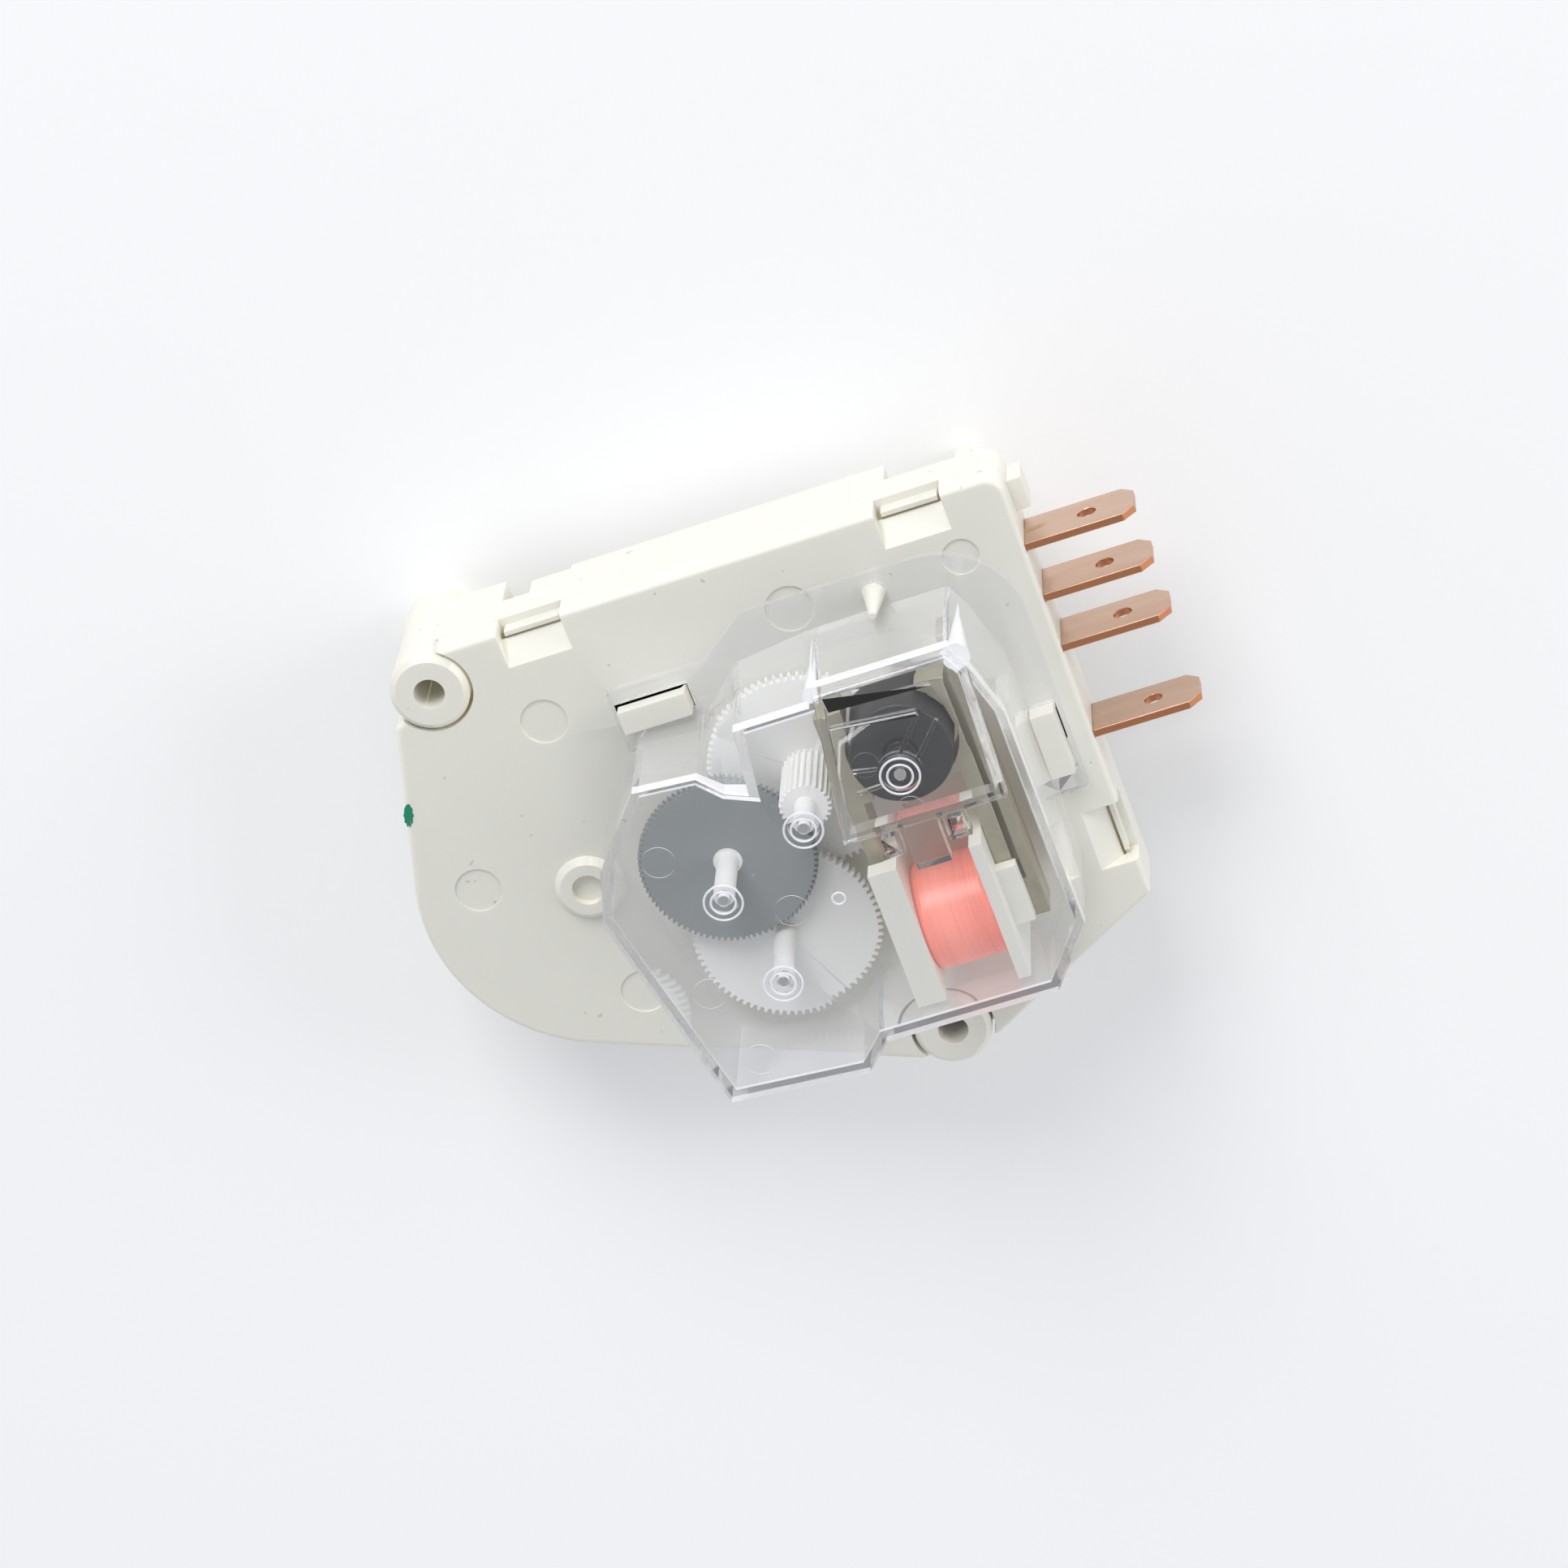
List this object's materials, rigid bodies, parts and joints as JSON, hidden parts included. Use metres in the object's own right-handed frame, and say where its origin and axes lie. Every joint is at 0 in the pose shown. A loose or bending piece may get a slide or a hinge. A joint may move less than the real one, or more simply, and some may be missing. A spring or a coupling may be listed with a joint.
{
  "type": "defrost timer",
  "caption": "Defrost timer: a cream moulded housing with a clear cover over a small synchronous motor and its gear train, a cam switch inside and flat quick-connect terminals.",
  "frame": {"origin": "axis of the upper mounting post's screw hole at the post's rear end, where it seats", "axes": "+X along the top edge towards the terminals, +Y up the gear plate, +Z out of the clear cover"},
  "size_m": [0.0841, 0.0621, 0.0331],
  "materials": {
    "cream_plastic": "satin moulded",
    "clear_plastic": "clear, glossy",
    "white_plastic": "satin moulded",
    "grey_plastic": "satin moulded",
    "copper": "bright rolled",
    "enamelled_wire": "glossy enamel",
    "lamination": "yellow passivated",
    "magnet": "ground ferrite",
    "silver": "bright",
    "steel": "drawn"
  },
  "bodies": {
    "housing": {"back_case": "cream_plastic", "gear_plate": "cream_plastic", "clear_cover": "clear_plastic", "terminal_one": "copper", "terminal_two": "copper", "terminal_three": "copper", "terminal_four": "copper", "contact_upper": "silver", "contact_lower": "silver", "yoke_left": "lamination", "yoke_right": "lamination", "coil_core": "lamination", "coil_bobbin": "cream_plastic", "coil_winding": "enamelled_wire", "axle_grey_gear": "steel", "axle_second_gear": "steel", "axle_rotor": "steel", "axle_third_gear": "steel", "coil_pin_left": "steel", "coil_pin_right": "steel"},
    "rotor": {"rotor_magnet": "magnet", "rotor_hub": "white_plastic"},
    "second_wheel": {"second_gear": "white_plastic"},
    "grey_wheel": {"grey_gear": "grey_plastic", "grey_gear_hub": "white_plastic"},
    "third_wheel": {"third_gear": "white_plastic"},
    "cam_wheel": {"cam_gear": "white_plastic", "clutch_washer": "steel"},
    "cam_shaft": {"cam": "white_plastic"},
    "switch_lever": {"moving_blade": "copper", "moving_contact": "silver", "cam_follower": "white_plastic"}
  },
  "joints": [
    {"name": "rotor_spin", "type": "hinge", "parent": "housing", "child": "rotor", "pos_m": [0.0449, -0.0164, 0.023], "axis": [0, 0, 1], "continuous": true},
    {"name": "second_gear_spin", "type": "hinge", "parent": "housing", "child": "second_wheel", "pos_m": [0.03356, -0.01991, 0.018], "axis": [0, 0, 1], "continuous": true},
    {"name": "grey_gear_spin", "type": "hinge", "parent": "housing", "child": "grey_wheel", "pos_m": [0.02325, -0.02501, 0.0215], "axis": [0, 0, 1], "continuous": true},
    {"name": "third_gear_spin", "type": "hinge", "parent": "housing", "child": "third_wheel", "pos_m": [0.02577, -0.03559, 0.0195], "axis": [0, 0, 1], "continuous": true},
    {"name": "cam_gear_spin", "type": "hinge", "parent": "housing", "child": "cam_wheel", "pos_m": [0.02746, -0.0231, 0.013], "axis": [0, 0, 1], "continuous": true},
    {"name": "cam_advance", "type": "hinge", "parent": "cam_wheel", "child": "cam_shaft", "pos_m": [0.02746, -0.0231, 0.01], "axis": [0, 0, 1], "continuous": true},
    {"name": "switch_lever_swing", "type": "hinge", "parent": "housing", "child": "switch_lever", "pos_m": [0.05545, -0.0104, 0.0109], "axis": [0, 0, -1], "range_deg": [0, 3.5]}
  ],
  "couplings": [
    {"joint": "second_gear_spin", "follows": "rotor_spin", "ratio": -0.14458},
    {"joint": "grey_gear_spin", "follows": "rotor_spin", "ratio": 0.040161},
    {"joint": "third_gear_spin", "follows": "rotor_spin", "ratio": -0.0052157},
    {"joint": "cam_gear_spin", "follows": "rotor_spin", "ratio": 0.00070482}
  ]
}
